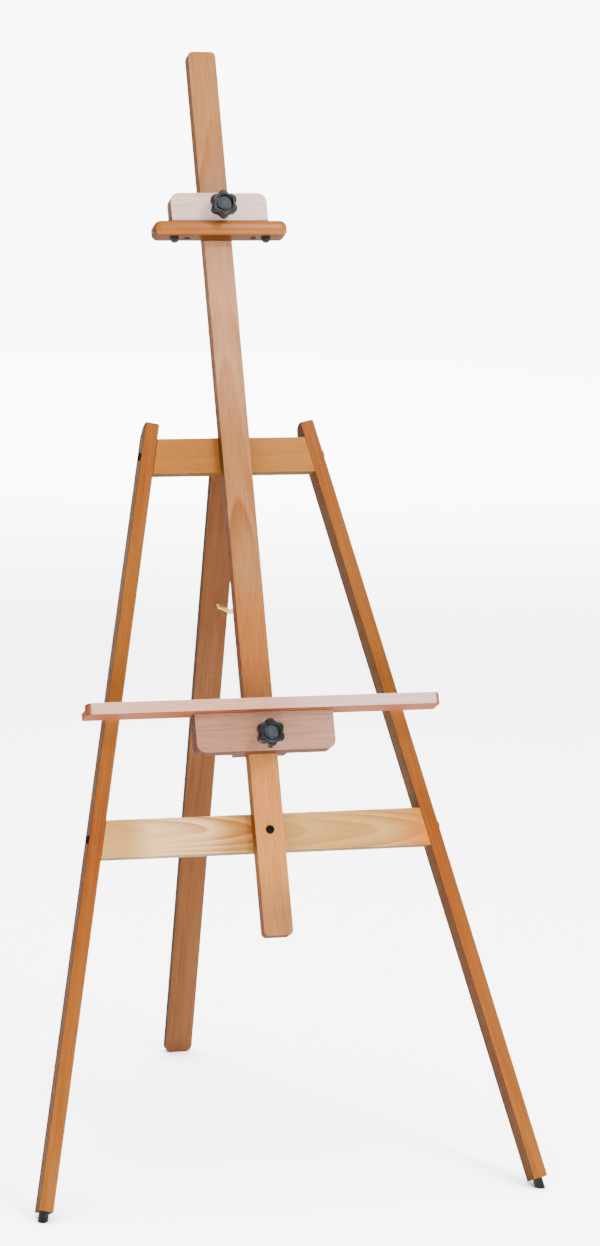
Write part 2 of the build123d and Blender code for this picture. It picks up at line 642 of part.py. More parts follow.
def canvas_tray():
    """A shelf for the canvas with a raised, rounded lip in front."""
    half = TRAY_LENGTH / 2
    shelf_front = TRAY_BACK - SHELF_DEPTH
    front = shelf_front - LIP_DEPTH
    shelf_top = TRAY_BOTTOM + SHELF_THICKNESS
    lip_top = TRAY_BOTTOM + LIP_HEIGHT
    outline = Polyline(
        (0, TRAY_BACK, TRAY_BOTTOM),
        (0, TRAY_BACK, shelf_top),
        (0, shelf_front, shelf_top),
        (0, shelf_front, lip_top),
        (0, front, lip_top),
        (0, front, TRAY_BOTTOM),
        close=True,
    )
    tray = Pos(-half, 0, 0) * extrude(make_face(outline), TRAY_LENGTH, dir=(1, 0, 0))
    tray = fillet(edges_along(tray, Axis.Z, lambda p: p.Y < front + 1), TRAY_CORNER_RADIUS)
    for screw in plate_screw_solids(TRAY_SCREW_OFFSET, shelf_top, -1, GLUE_GAP):
        tray -= screw
    lip_edges = edges_along(tray, Axis.X, lambda p: abs(p.Z - lip_top) < 0.1 and p.Y > front + 1)
    tray = fillet(lip_edges, LIP_RADIUS)
    return fillet([edge for edge in tray.edges() if abs(edge.center().Z - TRAY_BOTTOM) < 0.01
                   and edge.center().Y < shelf_front], FINE_EDGE)


def tray_plate():
    bottom = TRAY_BOTTOM - TRAY_PLATE_HEIGHT
    plate = clamp_plate(bottom, TRAY_BOTTOM, TRAY_PLATE_WIDTH, False, TRAY_KNOB_Z)
    for screw in plate_screw_solids(TRAY_SCREW_OFFSET, TRAY_BOTTOM + SHELF_THICKNESS, -1, GLUE_GAP):
        plate -= screw
    return plate


def top_ledge():
    """The ledge that holds the canvas's upper edge, rounded along its front and at its corners."""
    half = LEDGE_LENGTH / 2
    front = PLATE_BACK - LEDGE_DEPTH
    ledge = board(-half, half, front, PLATE_BACK, LEDGE_BOTTOM, LEDGE_TOP)
    ledge = fillet(edges_along(ledge, Axis.Z, lambda p: p.Y < front + 1), LEDGE_CORNER_RADIUS)
    ledge = fillet([edge for edge in ledge.edges() if edge.center().Y < front + 6
                    and abs(edge.center().Z - (LEDGE_BOTTOM + LEDGE_TOP) / 2) > 1], LEDGE_EDGE_RADIUS)
    for screw in plate_screw_solids(LEDGE_SCREW_OFFSET, LEDGE_BOTTOM, 1, GLUE_GAP):
        ledge -= screw
    return ledge


def top_plate():
    top = LEDGE_TOP + TOP_PLATE_HEIGHT
    plate = clamp_plate(LEDGE_TOP, top, TOP_PLATE_WIDTH, True, TOP_KNOB_Z)
    for screw in plate_screw_solids(LEDGE_SCREW_OFFSET, LEDGE_BOTTOM, 1, GLUE_GAP):
        plate -= screw
    return plate


def ledge_bumpers():
    """Rubber domes under the ledge that press on the canvas."""
    domes = []
    for side in (-1, 1):
        y = PLATE_BACK - BUMPER_DEPTH
        dome = rod_z(BUMPER_RADIUS, LEDGE_BOTTOM - BUMPER_HEIGHT, LEDGE_BOTTOM, side * BUMPER_OFFSET, y)
        rim = dome.edges().filter_by(GeomType.CIRCLE).sort_by(Axis.Z)[0]
        domes.append(fillet(rim, BUMPER_HEIGHT * 0.8))
    return group(domes)


# ---- star knobs ----
KNOB_BACK = PLATE_FRONT - KNOB_STANDOFF
KNOB_FACE = KNOB_BACK - KNOB_HUB_LENGTH - KNOB_THICKNESS
PAD_FRONT = -MAST_DEPTH - SLIDE_GAP - PAD_THICKNESS
STUD_TIP = PAD_FRONT - GLUE_GAP


def star_knob(z):
    """A moulded knob with lobes, a hub behind and a round recess for its cap."""
    star = Circle(KNOB_CORE_RADIUS)
    for index in range(KNOB_LOBES):
        angle = math.radians(360 / KNOB_LOBES * (index + 0.5))
        lobe = Circle(KNOB_LOBE_RADIUS)
        star += Pos(KNOB_LOBE_CIRCLE * math.cos(angle), KNOB_LOBE_CIRCLE * math.sin(angle)) * lobe
    knob = extrude(star, KNOB_THICKNESS)
    knob += Pos(0, 0, -KNOB_HUB_LENGTH / 2) * Cylinder(KNOB_HUB_RADIUS, KNOB_HUB_LENGTH)
    knob -= Pos(0, 0, KNOB_THICKNESS - CAP_RECESS / 2) * Cylinder(CAP_RADIUS + CAP_CLEARANCE, CAP_RECESS)
    bite = Pos(0, 0, -KNOB_HUB_LENGTH + STUD_BITE / 2) * Cylinder(STUD_RADIUS + GLUE_GAP, STUD_BITE)
    return Pos(0, KNOB_BACK - KNOB_HUB_LENGTH, z) * Rot(90, 0, 0) * (knob - bite)


def knob_cap(z):
    seat = KNOB_FACE + CAP_RECESS
    cap = rod_y(CAP_RADIUS, seat - CAP_THICKNESS, seat, 0, z)
    rim = cap.edges().filter_by(GeomType.CIRCLE).sort_by(Axis.Y)[0]
    return fillet(rim, CAP_THICKNESS / 3)


def clamp_stud(z):
    return rod_y(STUD_RADIUS, KNOB_BACK - STUD_BITE, STUD_TIP, 0, z)


def threaded_insert(z):
    bush = rod_y(INSERT_RADIUS, PLATE_FRONT, PLATE_FRONT + INSERT_LENGTH, 0, z)
    return bush - rod_y(STUD_RADIUS + STUD_CLEARANCE, PLATE_FRONT, PLATE_FRONT + INSERT_LENGTH, 0, z)


def pressure_pad(z):
    return rod_y(PAD_RADIUS, PAD_FRONT, PAD_FRONT + PAD_THICKNESS, 0, z)


# ---- the front frame ----
def place_frame_pieces():
    frame = {
        "left_leg": front_leg(-1),
        "right_leg": front_leg(1),
        "lower_crossbar": lower_crossbar(),
        "upper_crossbar": upper_crossbar(),
        "mast": mast(),
        "mast_bolt": mast_bolt(),
        "mast_bolt_washer": mast_bolt_washer(),
        "mast_bolt_nut": mast_bolt_nut(),
        "mast_screws": group(mast_screw_solids(0)),
        "connector_bolts": connector_bolts(),
        "barrel_nuts": barrel_nuts(),
        "alignment_dowels": alignment_dowels(),
        "hinge_fixed_leaf": hinge_leaf(False),
        "hinge_fixed_screws": group(hinge_screw_solids(False, 0)),
        "hinge_pin": hinge_pin(),
        "mast_eye": screw_eye(-CHAIN_LANE, MAST_EYE, 0, -1),
        "chain_front_half": chain_half(MAST_PIVOT, -CHAIN_LANE),
        "chain_rear_half": chain_half(REAR_PIVOT_OPEN, CHAIN_LANE),
    }
    for name, shape in frame.items():
        nodes[name] = LEANING * shape
    nodes["left_foot"] = rubber_foot(-1)
    nodes["right_foot"] = rubber_foot(1)


# ---- the rear leg and what it carries ----
def place_rear_pieces():
    rear = {
        "rear_leg": rear_leg(),
        "hinge_moving_leaf": hinge_leaf(True),
        "hinge_moving_screws": group(hinge_screw_solids(True, 0)),
        "rear_leg_eye": screw_eye(CHAIN_LANE, REAR_EYE, REAR_FRONT_Y, 1),
    }
    for name, shape in rear.items():
        nodes[name] = LEANING * OPENED * shape


# ---- both clamps ----
def place_clamp_pieces():
    tray_bottom = TRAY_BOTTOM - TRAY_PLATE_HEIGHT
    shelf_top = TRAY_BOTTOM + SHELF_THICKNESS
    plate_top = LEDGE_TOP + TOP_PLATE_HEIGHT
    clamps = {
        "canvas_tray": canvas_tray(),
        "tray_front_plate": tray_plate(),
        "tray_guide_blocks": guide_blocks(tray_bottom, TRAY_BOTTOM),
        "tray_back_strips": back_strips(tray_bottom, TRAY_BOTTOM),
        "tray_guide_screws": group(guide_screw_solids(tray_bottom, TRAY_BOTTOM, 0)),
        "tray_screws": group(plate_screw_solids(TRAY_SCREW_OFFSET, shelf_top, -1, 0)),
        "top_ledge": top_ledge(),
        "top_front_plate": top_plate(),
        "top_guide_blocks": guide_blocks(LEDGE_TOP, plate_top),
        "top_back_strips": back_strips(LEDGE_TOP, plate_top),
        "top_guide_screws": group(guide_screw_solids(LEDGE_TOP, plate_top, 0)),
        "ledge_screws": group(plate_screw_solids(LEDGE_SCREW_OFFSET, LEDGE_BOTTOM, 1, 0)),
        "ledge_bumpers": ledge_bumpers(),
    }
    for clamp, z in (("tray", TRAY_KNOB_Z), ("top", TOP_KNOB_Z)):
        clamps[f"{clamp}_insert"] = threaded_insert(z)
        clamps[f"{clamp}_stud"] = clamp_stud(z)
        clamps[f"{clamp}_knob"] = star_knob(z)
        clamps[f"{clamp}_knob_cap"] = knob_cap(z)
        clamps[f"{clamp}_pressure_pad"] = pressure_pad(z)
    for name, shape in clamps.items():
        nodes[name] = LEANING * shape


place_frame_pieces()
place_rear_pieces()
place_clamp_pieces()

# The origin is the bottom centre of the whole easel's box.
boxes = [shape.bounding_box() for shape in nodes.values()]
left, right = min(box.min.X for box in boxes), max(box.max.X for box in boxes)
near, far = min(box.min.Y for box in boxes), max(box.max.Y for box in boxes)
floor = min(box.min.Z for box in boxes)
CENTRING = Pos(-(left + right) / 2, -(near + far) / 2, -floor)

for name, shape in nodes.items():
    export_step(CENTRING * shape, f"parts/{name}.step")


# ---- where the joints are, in metres ----
def in_row_frame(y, z):
    spot = CENTRING * LEANING * Pos(0, y, z)
    return [round(value / 1000, 6) for value in (spot.position.X, spot.position.Y, spot.position.Z)]


lean = math.radians(LEAN)
mast_heading = math.degrees(math.atan2(CHAIN_MIDDLE[1] - MAST_PIVOT[1], CHAIN_MIDDLE[0] - MAST_PIVOT[0]))
rear_heading = math.degrees(math.atan2(CHAIN_MIDDLE[1] - REAR_PIVOT_OPEN[1], CHAIN_MIDDLE[0] - REAR_PIVOT_OPEN[0]))
print("size", right - left, far - near, "floor", floor)
print("hinge pin", in_row_frame(PIN_Y, PIN_Z))
print("mast pivot", in_row_frame(*MAST_PIVOT), "heading", mast_heading)
print("rear pivot", in_row_frame(*REAR_PIVOT_OPEN), "heading", rear_heading)
print("along the mast", [0, round(math.sin(lean), 6), round(math.cos(lean), 6)])
print("out of the front", [0, round(-math.cos(lean), 6), round(math.sin(lean), 6)])
print("tray knob", in_row_frame(KNOB_FACE, TRAY_KNOB_Z), "top knob", in_row_frame(KNOB_FACE, TOP_KNOB_Z))
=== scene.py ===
import math

import bmesh
import bpy
from mathutils import Euler, Matrix, Vector


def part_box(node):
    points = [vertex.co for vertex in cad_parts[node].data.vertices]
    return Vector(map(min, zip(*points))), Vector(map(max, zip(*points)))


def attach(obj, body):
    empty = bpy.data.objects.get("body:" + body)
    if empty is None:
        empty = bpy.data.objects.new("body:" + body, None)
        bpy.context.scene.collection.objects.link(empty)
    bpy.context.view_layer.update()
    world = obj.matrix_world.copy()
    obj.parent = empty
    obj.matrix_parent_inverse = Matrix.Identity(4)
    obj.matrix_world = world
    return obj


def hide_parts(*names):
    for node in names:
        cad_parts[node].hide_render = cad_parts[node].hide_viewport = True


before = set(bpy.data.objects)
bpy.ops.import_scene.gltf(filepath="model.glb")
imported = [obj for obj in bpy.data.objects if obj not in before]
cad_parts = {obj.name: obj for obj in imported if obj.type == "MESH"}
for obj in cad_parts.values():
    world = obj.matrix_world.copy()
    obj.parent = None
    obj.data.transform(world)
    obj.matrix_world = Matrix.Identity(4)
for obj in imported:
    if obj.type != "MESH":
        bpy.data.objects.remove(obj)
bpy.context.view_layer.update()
bpy.ops.object.select_all(action="DESELECT")


# ---------------------------------------------------------------------------
# Camera. It stands to the left of the easel's front, a little above the tray,
# and looks slightly down and to the right.
# ---------------------------------------------------------------------------
CAMERA_PLACE = Vector((-1.4150, -5.4932, 1.8922))
CAMERA_YAW = math.radians(15.317)
CAMERA_PITCH = math.radians(-10.867)
CAMERA_ROLL = math.radians(1.370)
CAMERA_LENS = 72.55
SENSOR_HEIGHT = 24.0

ahead = Vector((
    math.sin(CAMERA_YAW) * math.cos(CAMERA_PITCH),
    math.cos(CAMERA_YAW) * math.cos(CAMERA_PITCH),
    math.sin(CAMERA_PITCH),
))
level = Vector((math.cos(CAMERA_YAW), -math.sin(CAMERA_YAW), 0.0))
upward = level.cross(ahead)
camera_right = level * math.cos(CAMERA_ROLL) + upward * math.sin(CAMERA_ROLL)
camera_up = upward * math.cos(CAMERA_ROLL) - level * math.sin(CAMERA_ROLL)

camera = bpy.data.objects.new("camera", bpy.data.cameras.new("camera"))
bpy.context.scene.collection.objects.link(camera)
camera.data.sensor_fit = "VERTICAL"
camera.data.sensor_height = SENSOR_HEIGHT
camera.data.lens = CAMERA_LENS
camera.data.clip_end = 60.0
camera.matrix_world = Matrix((
    (camera_right.x, camera_up.x, -ahead.x, CAMERA_PLACE.x),
    (camera_right.y, camera_up.y, -ahead.y, CAMERA_PLACE.y),
    (camera_right.z, camera_up.z, -ahead.z, CAMERA_PLACE.z),
    (0.0, 0.0, 0.0, 1.0),
))
bpy.context.scene.camera = camera


# ---------------------------------------------------------------------------
# Studio. A round white cove, whose floor curves up into a wall on all sides. A key
# light at the front right, a wide one overhead and a weak one at the left light the
# easel, and two more light the cove alone, to keep it white.
# ---------------------------------------------------------------------------
COVE_FLOOR = 11.0           # radius of the flat floor
COVE_CURVE = 2.5            # radius of the turn from floor to wall
COVE_WALL = 7.0             # height of the straight wall above the turn
COVE_SIDES = 128            # straight pieces round the rim
COVE_STEPS = 12             # straight pieces in the turn
WHITE = (1.0, 1.0, 1.0)


def new_surface(name):
    """A new node material, with its tree and its shader."""
    material = bpy.data.materials.new(name)
    material.use_nodes = True
    tree = material.node_tree
    return material, tree, tree.nodes["Principled BSDF"]


def open_mesh(piece):
    """A copy of the piece's mesh, for editing."""
    mesh = bmesh.new()
    mesh.from_mesh(piece.data)
    return mesh


def close_mesh(mesh, piece):
    """Turns the edited faces outward and writes them back to the piece."""
    bmesh.ops.recalc_face_normals(mesh, faces=mesh.faces)
    mesh.to_mesh(piece.data)
    mesh.free()


def on_circle(vert, radius, height):
    """Moves a corner to this radius and height, at its own angle round the Z axis."""
    angle = math.atan2(vert.co.y, vert.co.x)
    vert.co = (radius * math.cos(angle), radius * math.sin(angle), height)


def make_cove():
    """A disc whose rim is extruded outward and up round a quarter turn, then straight up."""
    bpy.ops.mesh.primitive_circle_add(vertices=COVE_SIDES, radius=COVE_FLOOR, fill_type="NGON")
    floor = bpy.context.object
    floor.name = "studio_floor"
    turns = [math.radians(90.0 * step / COVE_STEPS) for step in range(1, COVE_STEPS + 1)]
    rings = [(COVE_FLOOR + COVE_CURVE * math.sin(turn), COVE_CURVE * (1.0 - math.cos(turn)))
             for turn in turns]
    rings.append((COVE_FLOOR + COVE_CURVE, COVE_CURVE + COVE_WALL))
    mesh = open_mesh(floor)
    rim = list(mesh.edges)
    for radius, height in rings:
        grown = bmesh.ops.extrude_edge_only(mesh, edges=rim)["geom"]
        rim = [item for item in grown if isinstance(item, bmesh.types.BMEdge)]
        for vert in (item for item in grown if isinstance(item, bmesh.types.BMVert)):
            on_circle(vert, radius, height)
    close_mesh(mesh, floor)
    bpy.ops.object.shade_smooth()
    paper, _, shader = new_surface("studio_paper")
    shader.inputs["Base Color"].default_value = (0.92, 0.92, 0.92, 1.0)
    shader.inputs["Roughness"].default_value = 0.9
    shader.inputs["Specular IOR Level"].default_value = 0.1
    floor.data.materials.append(paper)
    floor.select_set(False)
    return floor


def soft_light(name, place, target, size, power, colour, only_on=None):
    """A round lamp of this width, turned to its target. only_on is the one object it lights."""
    lamp = bpy.data.lights.new(name, "AREA")
    lamp.shape = "DISK"
    lamp.size = size
    lamp.energy = power
    lamp.color = colour
    light = bpy.data.objects.new(name, lamp)
    bpy.context.scene.collection.objects.link(light)
    light.location = place
    facing_target = Vector(target) - Vector(place)
    light.rotation_euler = facing_target.to_track_quat("-Z", "Y").to_euler()
    if only_on:
        lit = bpy.data.collections.new(name + "_lights")
        lit.objects.link(only_on)
        light.light_linking.receiver_collection = lit


cove = make_cove()
soft_light("key_light", (1.5, -2.7, 4.4), (0.0, 0.0, 0.9), 0.9, 200.0, (1.0, 0.98, 0.95))
soft_light("overhead_light", (0.0, 0.2, 4.6), (0.0, 0.2, 0.0), 3.4, 190.0, WHITE)
soft_light("fill_light", (-4.5, -2.5, 2.0), (0.0, 0.0, 0.8), 2.5, 25.0, (0.95, 0.98, 1.0))
soft_light("wall_light", (1.5, 6.0, 5.5), (3.4, 13.0, 2.5), 4.0, 4200.0, WHITE, cove)
soft_light("floor_light", (0.0, 0.0, 8.0), (0.0, 0.0, 0.0), 9.0, 4200.0, WHITE, cove)

world = bpy.data.worlds.new("studio")
world.use_nodes = True
world.node_tree.nodes["Background"].inputs["Color"].default_value = (*WHITE, 1.0)
world.node_tree.nodes["Background"].inputs["Strength"].default_value = 0.08
bpy.context.scene.world = world


# ---------------------------------------------------------------------------
# Front legs. Two straight beech boards with rounded tops, sprayed with a clear
# warm varnish. Their grain runs from the floor to the top.
# ---------------------------------------------------------------------------
LEAN = math.radians(25.0)           # the front frame leans back
SPLAY = math.radians(12.1)          # each leg leans towards the mast
UPRIGHT = Matrix.Rotation(-LEAN, 3, "X")
FORWARD = UPRIGHT @ Vector((0.0, -1.0, 0.0))       # out of the front frame's faces

RING_SCALE = 0.314                  # the wave texture's scale times the rings' spacing
WANDER_SCALE = 9.0                  # of the slow waves that bend the grain
BAND_CORE = 0.35                    # share of a band's half length that has its full tone
FIBRE_TINT = (0.72, 0.62, 0.52, 1.0)
FLECK_TINT = (0.62, 0.48, 0.38, 1.0)
END_GRAIN_TINT = (0.62, 0.48, 0.36, 1.0)
END_GRAIN_SHARE = 0.6
FIBRE_RELIEF = 0.0004               # height of the fibres under the varnish


def screen_colour(red, green, blue):
    """A colour as it shows on a screen, 0 to 255, turned into the shader's own scale."""
    def linear(value):
        value /= 255.0
        return value / 12.92 if value <= 0.04045 else ((value + 0.055) / 1.055) ** 2.4
    return (linear(red), linear(green), linear(blue), 1.0)


def add_node(tree, kind, **settings):
    node = tree.nodes.new("ShaderNode" + kind)
    for name, value in settings.items():
        setattr(node, name, value)
    return node


def feed(tree, socket, value):
    """Links value if it is a socket, and sets it if it is a number or a colour."""
    if isinstance(value, bpy.types.NodeSocket):
        tree.links.new(value, socket)
    else:
        socket.default_value = value


def blend_colour(tree, how, factor, first, second):
    mix = add_node(tree, "Mix", data_type="RGBA", blend_type=how)
    for socket, value in ((mix.inputs[0], factor), (mix.inputs[6], first), (mix.inputs[7], second)):
        feed(tree, socket, value)
    return mix.outputs[2]


def stretch(tree, vector, scale):
    """The same coordinates, squeezed along each direction."""
    squeeze = add_node(tree, "VectorMath", operation="MULTIPLY")
    tree.links.new(vector, squeeze.inputs[0])
    squeeze.inputs[1].default_value = scale
    return squeeze.outputs[0]


def scaled(tree, value, factor):
    times = add_node(tree, "Math", operation="MULTIPLY")
    tree.links.new(value, times.inputs[0])
    feed(tree, times.inputs[1], factor)
    return times.outputs[0]


def smooth_step(tree, value, start, end, top=1.0):
    """0 at start, changing smoothly to top at end."""
    limits = add_node(tree, "MapRange", interpolation_type="SMOOTHSTEP")
    limits.inputs["From Min"].default_value = start
    limits.inputs["From Max"].default_value = end
    limits.inputs["To Max"].default_value = top
    tree.links.new(value, limits.inputs["Value"])
    return limits.outputs["Result"]


def noise(tree, vector, scale, detail):
    pattern = add_node(tree, "TexNoise")
    pattern.inputs["Scale"].default_value = scale
    pattern.inputs["Detail"].default_value = detail
    tree.links.new(vector, pattern.inputs["Vector"])
    return pattern


def cloud(tree, vector, scale, detail, low, high):
    """Noise cut to the range between low and high, from 0 to 1."""
    return smooth_step(tree, noise(tree, vector, scale, detail).outputs["Fac"], low, high)


def facing(tree, normal, direction):
    """1 on a face square to direction, either way, and 0 on a face along it."""
    dot = add_node(tree, "VectorMath", operation="DOT_PRODUCT")
    tree.links.new(normal, dot.inputs[0])
    dot.inputs[1].default_value = direction
    size = add_node(tree, "Math", operation="ABSOLUTE")
    tree.links.new(dot.outputs["Value"], size.inputs[0])
    return size.outputs[0]


def set_roughness(tree, shader, pattern, smooth, rough):
    """Roughness that follows the pattern, from smooth at 0 to rough at 1."""
    spread = add_node(tree, "MapRange")
    spread.inputs["To Min"].default_value = smooth
    spread.inputs["To Max"].default_value = rough
    tree.links.new(pattern, spread.inputs["Value"])
    tree.links.new(spread.outputs["Result"], shader.inputs["Roughness"])


def add_relief(tree, shader, pattern, strength, height):
    """Bumps that follow the pattern, up to height in metres."""
    relief = add_node(tree, "Bump")
    relief.inputs["Strength"].default_value = strength
    relief.inputs["Distance"].default_value = height
    tree.links.new(pattern, relief.inputs["Height"])
    tree.links.new(relief.outputs["Normal"], shader.inputs["Normal"])


def wandering(tree, board, reach):
    """The board's coordinates, pushed about by up to half of reach."""
    waves = noise(tree, stretch(tree, board, (1.0, 1.0, 0.3)), WANDER_SCALE, 2.0)
    centred = add_node(tree, "VectorMath", operation="SUBTRACT")
    tree.links.new(waves.outputs["Color"], centred.inputs[0])
    centred.inputs[1].default_value = (0.5, 0.5, 0.5)
    moved = add_node(tree, "VectorMath", operation="MULTIPLY_ADD")
    tree.links.new(centred.outputs[0], moved.inputs[0])
    moved.inputs[1].default_value = (reach, reach, reach)
    tree.links.new(board, moved.inputs[2])
    return moved.outputs[0]


def growth_rings(tree, place, pith, ring):
    """Late wood in rings round the pith: each darkens slowly outward and ends at once."""
    from_pith = add_node(tree, "VectorMath", operation="ADD")
    tree.links.new(place, from_pith.inputs[0])
    from_pith.inputs[1].default_value = (pith[0], pith[1], 0.0)
    rings = add_node(tree, "TexWave", wave_type="RINGS", rings_direction="Z", wave_profile="SAW")
    rings.inputs["Scale"].default_value = RING_SCALE / ring
    tree.links.new(from_pith.outputs[0], rings.inputs["Vector"])
    late_wood = add_node(tree, "ValToRGB")
    ramp = late_wood.color_ramp.elements
    ramp[0].position, ramp[0].color = 0.1, (0.0, 0.0, 0.0, 1.0)
    ramp[1].position, ramp[1].color = 0.9, (1.0, 1.0, 1.0, 1.0)
    ramp.new(1.0).color = (0.1, 0.1, 0.1, 1.0)
    tree.links.new(rings.outputs["Fac"], late_wood.inputs["Fac"])
    return late_wood.outputs["Color"]


def banded(tree, place, colour, bands):
    """Lays each (middle, half length, tone) over the colour, along the board."""
    along = add_node(tree, "SeparateXYZ")
    tree.links.new(place, along.inputs[0])
    for middle, reach, tone in bands:
        offset = add_node(tree, "Math", operation="SUBTRACT")
        tree.links.new(along.outputs["Z"], offset.inputs[0])
        offset.inputs[1].default_value = middle
        distance = add_node(tree, "Math", operation="ABSOLUTE")
        tree.links.new(offset.outputs[0], distance.inputs[0])
        share = smooth_step(tree, distance.outputs[0], reach, reach * BAND_CORE)
        colour = blend_colour(tree, "MIX", share, colour, tone)
    return colour


def varnished_beech(name, turn, centre, tones, pith=(0.03, 0.05), ring=0.007, cant=(0.0, 0.0),
                    figure=0.5, fibre=0.5, fleck=0.5, drift=5.0, gloss=0.04, wander=0.012,
                    front=FORWARD, painted_side_shade=(0.26, 0.32, 0.42, 1.0), edge=(0.92, 0.45), bands=()):
    """Plain-sawn beech under clear varnish.

    turn takes the board's own frame, its length along Z, to the shared frame, and centre is its
    middle. tones are the pale wood, a second tone that drifts in along the board, and the colour
    of the growth rings. The side tint is painted shade: it darkens the edges and ends, the faces
    turned away from front, and edge gives the two facings between which that painted shade comes
    in. bands are (middle, half length, tone) along the board.
    """
    material, tree, shader = new_surface(name)
    pale, second, late = tones

    place = add_node(tree, "TexCoord")
    frame_of_board = add_node(tree, "Mapping", vector_type="TEXTURE")
    frame_of_board.inputs["Location"].default_value = centre
    canted = turn @ Euler((cant[0], cant[1], 0.0)).to_matrix()
    frame_of_board.inputs["Rotation"].default_value = canted.to_euler()
    tree.links.new(place.outputs["Object"], frame_of_board.inputs["Vector"])
    board = frame_of_board.outputs["Vector"]
    wavy = wandering(tree, board, wander)

    rings = growth_rings(tree, wavy, pith, ring)
    strength = cloud(tree, stretch(tree, board, (1.0, 1.0, 0.4)), 11.0, 1.0, 0.3, 0.7)
    fibres = cloud(tree, stretch(tree, board, (1.0, 1.0, 0.018)), 520.0, 3.0, 0.35, 0.7)
    flecks = cloud(tree, stretch(tree, board, (1.0, 0.6, 0.16)), 1500.0, 1.0, 0.6, 0.72)
    tone_drift = cloud(tree, stretch(tree, board, (1.0, 1.0, 0.35)), drift, 2.0, 0.35, 0.65)

    colour = blend_colour(tree, "MIX", tone_drift, pale, second)
    if bands:
        colour = banded(tree, wavy, colour, bands)
    ring_amount = scaled(tree, scaled(tree, rings, strength), figure)
    colour = blend_colour(tree, "MIX", ring_amount, colour, late)
    colour = blend_colour(tree, "MULTIPLY", scaled(tree, fibres, fibre), colour, FIBRE_TINT)
    colour = blend_colour(tree, "MULTIPLY", scaled(tree, flecks, fleck), colour, FLECK_TINT)

    normal = place.outputs["Normal"]
    cut_across = facing(tree, normal, turn @ Vector((0.0, 0.0, 1.0)))
    end_grain = smooth_step(tree, cut_across, 0.6, 0.95, top=END_GRAIN_SHARE)
    colour = blend_colour(tree, "MULTIPLY", end_grain, colour, END_GRAIN_TINT)
    # Painted shade: faces turned away from front take the side tint, which darkens them as if in shade.
    painted_shade_share = smooth_step(tree, facing(tree, normal, front), edge[0], edge[1])
    colour = blend_colour(tree, "MULTIPLY", painted_shade_share, colour, painted_side_shade)
    tree.links.new(colour, shader.inputs["Base Color"])

    set_roughness(tree, shader, fibres, 0.36, 0.5)
    shader.inputs["Specular IOR Level"].default_value = 0.0
    shader.inputs["Coat Weight"].default_value = gloss
    shader.inputs["Coat Roughness"].default_value = 0.2
    add_relief(tree, shader, fibres, 0.18, FIBRE_RELIEF)
    return material


def finish_node(node, material):
    """Puts one material on a CAD node."""
    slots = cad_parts[node].data.materials
    slots.clear()
    slots.append(material)


def centre_of(node):
    low, high = (Vector(corner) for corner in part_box(node))
    return (low + high) / 2


LEG_TONES = (screen_colour(127, 77, 33), screen_colour(121, 66, 26), screen_colour(97, 50, 16))
for side, node, pith in ((-1, "left_leg", (0.02, 0.055)), (1, "right_leg", (-0.03, 0.06))):
    leg_turn = UPRIGHT @ Matrix.Rotation(-side * SPLAY, 3, "Y")
    finish_node(node, varnished_beech(node + "_beech", leg_turn, centre_of(node), LEG_TONES, pith=pith,
                                      ring=0.006, cant=(0.01, 0.006), figure=0.35))


# ---------------------------------------------------------------------------
# Crossbars. Flat beech rails, flush with the legs' front faces. The lower one is
# a pale, strongly figured board; the upper one is golden and quieter.
# ---------------------------------------------------------------------------
ACROSS = UPRIGHT @ Matrix.Rotation(math.radians(90.0), 3, "Y")      # a rail's length, along Z, to X
finish_node("lower_crossbar", varnished_beech(
    "lower_crossbar_beech", ACROSS, centre_of("lower_crossbar"),
    (screen_colour(180, 143, 86), screen_colour(170, 125, 67), screen_colour(145, 87, 33)),
    pith=(0.003, 0.036), ring=0.0065, cant=(0.07, 0.05), figure=1.0, fibre=0.25, fleck=0.2, wander=0.022,
    bands=((0.3, 0.12, screen_colour(178, 108, 42)), (-0.13, 0.09, screen_colour(212, 174, 122)))))
finish_node("upper_crossbar", varnished_beech(
    "upper_crossbar_beech", ACROSS, centre_of("upper_crossbar"),
    (screen_colour(147, 98, 46), screen_colour(140, 87, 36), screen_colour(126, 72, 26)),
    pith=(0.02, 0.05), ring=0.012, cant=(0.03, 0.03), figure=0.4, fibre=0.3, wander=0.02))


# ---------------------------------------------------------------------------
# Mast. One long beech board in front of the crossbars, with rounded corners. Its
# colour drifts from tan at the top to gold at the foot; the pinkish band in its upper middle
# is a painted sheen of the key light, and its sides carry painted shade.
# ---------------------------------------------------------------------------
finish_node("mast", varnished_beech(
    "mast_beech", UPRIGHT, centre_of("mast"),
    (screen_colour(147, 96, 55), screen_colour(145, 102, 64), screen_colour(124, 69, 32)),
    pith=(0.004, 0.07), ring=0.0065, cant=(0.03, 0.01), figure=0.8, drift=2.2, wander=0.024,
    # Painted shade: a strong side tint for the dark shade along the mast's sides.
    painted_side_shade=(0.25, 0.2, 0.18, 1.0),
    # The first band, pinkish, is a painted sheen of the key light; the other two are the board's own tone.
    bands=((0.3, 0.26, screen_colour(163, 117, 84)), (-0.25, 0.12, screen_colour(147, 90, 46)),
           (-0.53, 0.16, screen_colour(178, 115, 60)))))


# ---------------------------------------------------------------------------
# Rear leg. A thinner beech board, hinged to the back of the upper crossbar, with
# rounded lower corners.
# ---------------------------------------------------------------------------
REAR_LEAN = math.radians(13.5)      # the rear leg leans forward
REAR_UPRIGHT = Matrix.Rotation(REAR_LEAN, 3, "X")
REAR_FORWARD = REAR_UPRIGHT @ Vector((0.0, -1.0, 0.0))
# Its tones are darker than the front legs' as painted shade, for the shade it stands in behind the mast and
# crossbars.
finish_node("rear_leg", varnished_beech(
    "rear_leg_beech", REAR_UPRIGHT, centre_of("rear_leg"),
    (screen_colour(94, 61, 38), screen_colour(85, 53, 30), screen_colour(69, 40, 21)),
    pith=(-0.02, 0.06), ring=0.008, cant=(0.01, 0.01), figure=0.5, front=REAR_FORWARD))


